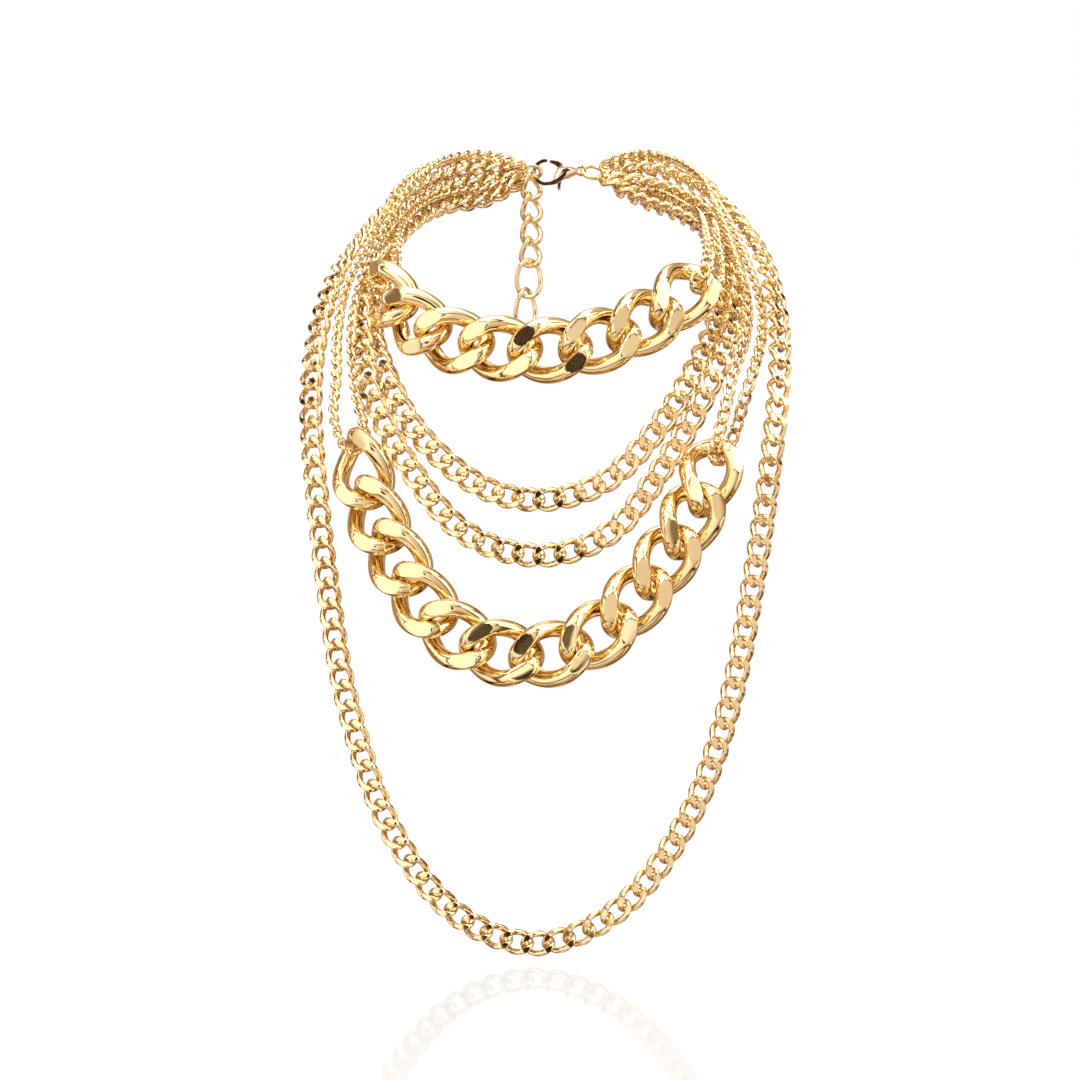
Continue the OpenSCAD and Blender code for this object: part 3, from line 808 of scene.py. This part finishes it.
@dataclass
class Clasp:
    """The lobster clasp: a claw with a flat front that bends into a fat tapered body with an eye, and the gate.

    Attributes:
        hook_at: middle of the claw's bend, x and z.
        hook_radius: at the middle of the wire.
        hook_rise, hook_depth: half the wire's size in the plane and, before the cut, across it.
        hook_from, hook_to: where the bend starts, at the tip, and ends, in degrees from X.
        hook_rings: rings along the bend.
        tip_share: size of the wire in the plane at the tip, as a share.
        slant: slope across the claw of its flats where it passes its leftmost point.
        eye_at: middle of the eye, x and z.
        eye_size, eye_wire: diameter at the middle of the eye's wire, and its thickness.
        eye_around, eye_sides: rings of the eye and points in a ring.
        sides: points in a ring of the claw, the body and the gate.
    """

    hook_at: tuple[float, float] = (-1.0, -0.1)
    hook_radius: float = 3.5
    hook_rise: float = 0.62
    hook_depth: float = 1.5
    hook_from: float = 82.0
    hook_to: float = 282.0
    hook_rings: int = 15
    tip_share: float = 0.75
    slant: float = -0.105
    eye_at: tuple[float, float] = (9.7, 0.35)
    eye_size: float = 2.45
    eye_wire: float = 0.95
    eye_around: int = 36
    eye_sides: int = 10
    sides: int = 24

    def tube(self, rows: np.ndarray, cap: float = FLAT_FRONT) -> tuple[np.ndarray, list]:
        """Sweeps a tube through rows of x, z, half height, half depth and, where there is a fifth, slant, smoothed.

        Args:
            rows: the sections.
            cap: share of the depth at which the front and the back are flat.

        Returns:
            points in millimetres and faces.
        """
        fine = smooth(rows, CLASP_STEPS)
        slant = fine[:, 4] if fine.shape[1] > 4 else np.zeros(len(fine))
        points = swept_points(fine[:, :2], fine[:, 2], fine[:, 3], self.sides, cap, slant)
        return points, swept_faces(len(fine), self.sides)

    def claw(self) -> tuple[np.ndarray, list]:
        """The claw, from its tip over the left and the bottom to where it runs out on the body.

        Formula: a circle from hook_from to hook_to, its wire thinner at the tip, then CLAW_ROWS. The slant comes
        in and goes out between SLANT_ANGLES, so that the flats mirror the light there.

        Returns:
            points in millimetres and faces.
        """
        a = np.radians(np.linspace(self.hook_from, self.hook_to, self.hook_rings))
        size = np.interp(np.arange(len(a)), (0, 1), (self.tip_share, 1.0))
        slant = np.interp(np.degrees(a), SLANT_ANGLES, (0.0, self.slant, self.slant, 0.0))
        x = self.hook_at[0] + self.hook_radius * np.cos(a)
        z = self.hook_at[1] + self.hook_radius * np.sin(a)
        bend = np.stack([x, z, self.hook_rise * size, np.full(len(a), self.hook_depth), slant], 1)
        straight = np.column_stack([CLAW_ROWS, np.zeros(len(CLAW_ROWS))])
        return self.tube(np.vstack([bend, straight]))

    def build(self, wardrobe: Wardrobe) -> list[bpy.types.Object]:
        """Builds and dresses the claw with its body and eye, and the gate with its spur.

        Args:
            wardrobe: gives the finish.

        Returns:
            The body and the gate.
        """
        eye = torus_points(self.eye_size, self.eye_wire, self.eye_around, self.eye_sides)
        eye = eye + (self.eye_at[0], 0, self.eye_at[1])
        eye_faces = ring_faces(self.eye_around, self.eye_sides).tolist()
        claw = add_mesh("clasp_claw", *joined([self.claw(), self.tube(BODY_ROWS, 1.0), (eye, eye_faces)]),
                        crease=CLASP_CREASE)
        gate = add_mesh("clasp_gate", *joined([self.tube(GATE_ROWS), self.tube(SPUR_ROWS)]), crease=CLASP_CREASE)
        return [wardrobe.dress(claw, Finish.CLASP, BODY, ["clasp_body"]),
                wardrobe.dress(gate, Finish.CLASP, GATE, ["clasp_lever"])]


# Studio

@dataclass
class Studio:
    """The camera, the pale floor and the soft light.

    Attributes:
        distance: from the camera to the nape's plane, in millimetres.
        elevation: of the view, in degrees.
        shift_x, shift_up: the frame's middle, right of and above the nape.
        focal_px: focal length in pixels of the 1080 pixel frame.
        floor_z: the floor's height.
        floor_white: the floor's brightness.
        floor_mirror: share of the floor's light that is a mirror image.
        floor_size: half the floor's side, in millimetres.
        spot_towards: direction of the dark spot round the camera.
        spot_inner, spot_outer: half angles inside which it is darkest and outside which it is gone, in degrees.
        spot_level: share of the light that is left in it.
        dark_tint, bright_tint: colours of the surround where it is dark and where it is bright.
        tint_power: power of the light that mixes the two.
    """

    distance: float = 925.0
    elevation: float = 6.0
    shift_x: float = -2.74
    shift_up: float = -112.1
    focal_px: float = 3037.0
    floor_z: float = -213.0
    floor_white: float = 1.05
    floor_mirror: float = 0.20
    floor_size: float = 6000.0
    spot_towards: tuple[float, float, float] = (-0.04, -1.0, 0.14)
    spot_inner: float = 9.0
    spot_outer: float = 15.0
    spot_level: float = 0.02
    dark_tint: tuple[float, float, float] = (1.0, 0.44, 0.06)
    bright_tint: tuple[float, float, float] = (1.0, 0.94, 0.94)
    tint_power: float = 1.3

    def camera(self) -> None:
        """Puts the camera at the photograph's angle."""
        e = np.radians(self.elevation)
        data = bpy.data.cameras.new("camera")
        data.sensor_width = 36.0
        data.lens = data.sensor_width * self.focal_px / IMAGE_SIDE
        cam = bpy.data.objects.new("camera", data)
        cam.location = (self.shift_x * MM, (-self.distance * np.cos(e) + self.shift_up * np.sin(e)) * MM,
                        (self.distance * np.sin(e) + self.shift_up * np.cos(e)) * MM)
        cam.rotation_euler = (np.radians(90) - e, 0, 0)
        bpy.context.scene.collection.objects.link(cam)
        bpy.context.scene.camera = cam

    def floor(self) -> None:
        """Lays a white floor with a faint mirror image; the gold mirrors the surround in its place."""
        s = self.floor_size
        corners = np.array([(x, y, self.floor_z) for x, y in ((-s, -s), (s, -s), (s, s), (-s, s))])
        floor = add_mesh("floor", corners, [(0, 1, 2, 3)])
        mat = bpy.data.materials.new("floor")
        mat.use_nodes = True
        nodes, links = mat.node_tree.nodes, mat.node_tree.links
        nodes.clear()
        seen = nodes.new("ShaderNodeEmission")
        seen.inputs["Color"].default_value = (1, 1, 1, 1)
        seen.inputs["Strength"].default_value = self.floor_white
        mirror = nodes.new("ShaderNodeBsdfGlossy")
        mirror.inputs["Roughness"].default_value = 0.06
        both = nodes.new("ShaderNodeMixShader")
        both.inputs[0].default_value = self.floor_mirror
        out = nodes.new("ShaderNodeOutputMaterial")
        links.new(seen.outputs[0], both.inputs[1])
        links.new(mirror.outputs[0], both.inputs[2])
        links.new(both.outputs[0], out.inputs["Surface"])
        floor.data.materials.append(mat)
        floor.visible_glossy = False

    def world(self) -> None:
        """A pale surround with dark cards in it, which the gold mirrors.

        Formula: the light from a direction is a level read from its height, times a level read from its bearing,
        times a dark spot round the camera. Its colour goes from the dark tint to the bright one with the light to the
        tint's power. The camera itself sees plain white.
        """
        world = bpy.data.worlds.new("studio")
        bpy.context.scene.world = world
        world.use_nodes = True
        nodes, links = world.node_tree.nodes, world.node_tree.links
        nodes.clear()
        coords = nodes.new("ShaderNodeTexCoord")
        split = nodes.new("ShaderNodeSeparateXYZ")
        links.new(coords.outputs["Generated"], split.inputs[0])

        def math(operation: str, *inputs: object) -> bpy.types.NodeSocket:
            """Adds a maths node.

            Args:
                operation: the node's operation.
                inputs: a socket to wire in or a number to set, for each input.

            Returns:
                The node's output.
            """
            node = nodes.new("ShaderNodeMath")
            node.operation = operation
            for slot, value in zip(node.inputs, inputs):
                if isinstance(value, bpy.types.NodeSocket):
                    links.new(value, slot)
                else:
                    slot.default_value = value
            return node.outputs[0]

        def levels(position: bpy.types.NodeSocket, stops: Sequence[tuple[float, float]]) -> bpy.types.NodeSocket:
            """Adds a ramp of light levels.

            Args:
                position: what the ramp reads, from 0 to 1.
                stops: positions from 0 to 1, each with its level.

            Returns:
                The level, scaled back up from the ramp's 0 to 1.
            """
            ramp = nodes.new("ShaderNodeValToRGB")
            top = max(level for _, level in stops)
            points = ramp.color_ramp.elements
            while len(points) < len(stops):
                points.new(0.5)
            for point, (where, level) in zip(points, stops):
                point.position = where
                point.color = (level / top,) * 3 + (1.0,)
            links.new(position, ramp.inputs[0])
            return math("MULTIPLY", ramp.outputs["Color"], top)

        height = math("MULTIPLY_ADD", split.outputs["Z"], 0.5, 0.5)
        by_height = levels(height, [(0.5 + 0.5 * np.sin(np.radians(a)), level) for a, level in HEIGHT_LEVELS])
        behind = math("MULTIPLY", split.outputs["Y"], -1.0)
        bearing = math("MULTIPLY_ADD", math("ARCTAN2", split.outputs["X"], behind), 0.5 / np.pi, 0.5)
        by_bearing = levels(bearing, [(0.5 + a / 360, level) for a, level in BEARING_LEVELS])
        dot = nodes.new("ShaderNodeVectorMath")
        dot.operation = "DOT_PRODUCT"
        dot.inputs[1].default_value = tuple(unit(np.array(self.spot_towards)))
        links.new(coords.outputs["Generated"], dot.inputs[0])
        spot = nodes.new("ShaderNodeMapRange")
        spot.interpolation_type = "SMOOTHSTEP"
        spot.inputs["From Min"].default_value = np.cos(np.radians(self.spot_outer))
        spot.inputs["From Max"].default_value = np.cos(np.radians(self.spot_inner))
        spot.inputs["To Min"].default_value = 1.0
        spot.inputs["To Max"].default_value = self.spot_level
        links.new(dot.outputs["Value"], spot.inputs["Value"])
        strength = math("MULTIPLY", math("MULTIPLY", by_height, by_bearing), spot.outputs["Result"])
        seen = nodes.new("ShaderNodeBackground")
        seen.inputs["Color"].default_value = (1, 1, 1, 1)
        seen.inputs["Strength"].default_value = 1.0
        warmth = nodes.new("ShaderNodeMix")
        warmth.data_type = "RGBA"
        warmth.inputs["A"].default_value = (*self.dark_tint, 1)
        warmth.inputs["B"].default_value = (*self.bright_tint, 1)
        links.new(math("POWER", strength, self.tint_power), warmth.inputs["Factor"])
        lit = nodes.new("ShaderNodeBackground")
        links.new(warmth.outputs["Result"], lit.inputs["Color"])
        links.new(strength, lit.inputs["Strength"])
        path = nodes.new("ShaderNodeLightPath")
        mix = nodes.new("ShaderNodeMixShader")
        out = nodes.new("ShaderNodeOutputWorld")
        links.new(path.outputs["Is Camera Ray"], mix.inputs[0])
        links.new(lit.outputs[0], mix.inputs[1])
        links.new(seen.outputs[0], mix.inputs[2])
        links.new(mix.outputs[0], out.inputs["Surface"])

    def lamps(self) -> None:
        """Hangs the softboxes: each is a large area light aimed at LAMPS_AIM, the necklace's middle."""
        for name, place, size, radiance in SOFTBOXES:
            data = bpy.data.lights.new(name, "AREA")
            data.shape = "SQUARE"
            data.size = size * MM
            data.energy = radiance * np.pi * (size * MM) ** 2
            lamp = bpy.data.objects.new(name, data)
            at = np.array(place, float)
            aim = unit(np.array(LAMPS_AIM) - at)
            turn = np.arctan2(aim[0], -aim[1])
            tip = np.arccos(-aim[2])
            lamp.location = tuple(at * MM)
            lamp.rotation_euler = (tip, 0, -turn)
            bpy.context.scene.collection.objects.link(lamp)

    def build(self) -> None:
        """Sets up the whole studio."""
        self.camera()
        self.floor()
        self.world()
        self.lamps()
        view = bpy.context.scene.view_settings
        view.view_transform = "Standard"
        view.look = "None"
        view.exposure = 0.0


# how bright the surround is at each height above the horizon and at each bearing from the camera's side, in degrees
HEIGHT_LEVELS = (
    (-90, 0.52), (-62, 0.75), (-48, 1.00), (-44, 0.06), (-40, 0.05), (-35, 0.95), (-15, 1.15), (12, 1.40), (27, 1.40),
    (31, 0.04), (34.5, 0.04), (39, 1.60), (62, 2.20), (90, 1.60))
BEARING_LEVELS = (
    (-180, 0.80), (-168, 0.80), (-160, 0.32), (-125, 0.34), (-113, 0.42), (-110, 0.03), (-106, 0.03), (-101, 1.00),
    (-84, 1.20), (-79, 0.05), (-75, 0.05), (-68, 1.15), (-18, 1.08), (0, 1.00), (12, 1.00), (20, 0.66), (44, 0.64),
    (50, 0.05), (56, 0.05), (61, 1.05), (98, 1.15), (105, 0.03), (109, 0.03), (114, 0.42), (160, 0.32), (168, 0.80),
    (180, 0.80))
LAMPS_AIM = (0.0, -60.0, -100.0)
# name, place in millimetres, side in millimetres, radiance
SOFTBOXES = (
    ("key", (-450, -650, 650), 620, 3.2),
    ("fill", (700, -500, 300), 520, 1.6),
    ("top", (60, 120, 900), 700, 2.6),
)


MEDIUM_LINK = LinkShape(9.5, 7.0, 1.65, 1.8, twist=110, around=26, arc=4, flat=2)
FINE_LINK = LinkShape(5.7, 3.8, 1.05, 0.95, around=14, arc=2, flat=2)
CHUNKY_LINK = LinkShape(23.8, 18.4, 4.8, 4.7, around=84, arc=11, flat=5, seam=-12)
# distances between neighbouring links' middles, in millimetres
MEDIUM_PITCH = 5.74
FINE_PITCH = 3.6
# how much less than its route a medium chain is turned on its way down the sides
MEDIUM_EASE = 0.4
# slopes of each chunky link's upper front flat, along and across, then of its lower one: no two are ground alike
TOP_GRIND = (
    (0.05, 0.02, 0.03, -0.02), (-0.04, 0.05, 0.02, 0.05), (0.03, -0.03, -0.03, -0.06), (0.04, -0.07, 0.05, -0.05),
    (0.0, -0.02, 0.0, -0.02), (-0.02, -0.14, -0.02, -0.12), (0.02, 0.05, -0.05, -0.12), (-0.03, -0.02, 0.02, 0.03))
LOWER_GRIND = (
    (0.02, 0.05, -0.03, 0.02), (0.04, 0.02, 0.02, 0.05), (-0.03, 0.04, 0.04, 0.02), (0.05, 0.03, 0.02, -0.04),
    (0.0, 0.03, 0.03, -0.06), (-0.06, 0.02, 0.02, -0.13), (-0.02, 0.04, 0.0, -0.13), (0.09, 0.0, -0.04, -0.11),
    (-0.04, 0.03, 0.05, 0.02), (0.05, 0.02, -0.03, 0.04), (-0.02, 0.05, 0.03, -0.02), (0.03, 0.04, -0.02, 0.02))


@dataclass
class Necklace:
    """The whole necklace.

    Attributes:
        wardrobe: gives every piece its finish.
    """

    wardrobe: Wardrobe = field(default_factory=Wardrobe)

    def build(self) -> None:
        """Builds every sub-assembly."""
        dress = self.wardrobe
        for stem, rows, grind in (("top_link", TOP_ROUTE, TOP_GRIND), ("lower_link", LOWER_ROUTE, LOWER_GRIND)):
            ChunkyChain(stem, rows, CHUNKY_LINK, grind).build(dress)
        for node, rows in (("long_chain", LONG_ROUTE), ("middle_chain", MIDDLE_ROUTE), ("inner_chain", INNER_ROUTE)):
            CurbChain(f"{node}_links", rows, MEDIUM_LINK, MEDIUM_PITCH, Finish.CHAIN, [node], MEDIUM_EASE).build(dress)
        for node, rows in (("top_fine_left", TOP_FINE_LEFT_ROUTE), ("top_fine_right", TOP_FINE_RIGHT_ROUTE),
                           ("lower_fine_left", LOWER_FINE_LEFT_ROUTE), ("lower_fine_right", LOWER_FINE_RIGHT_ROUTE)):
            CurbChain(f"{node}_links", rows, FINE_LINK, FINE_PITCH, Finish.FINE, [node]).build(dress)
        Extender().build(dress)
        JumpRing("left_jump_ring", "left_ring", (-5.6, 0, -0.1), 6.2, 1.2, 50).build(dress)
        JumpRing("right_jump_ring", "right_ring", (13.3, 0, 0), 6.3, 1.35, -56, roll=9).build(dress)
        Clasp().build(dress)


def main() -> None:
    """Builds the necklace and its studio."""
    logging.basicConfig(level=logging.INFO, format="%(name)s: %(message)s")
    Necklace().build()
    Studio().build()


if __name__ == "__main__":
    main()
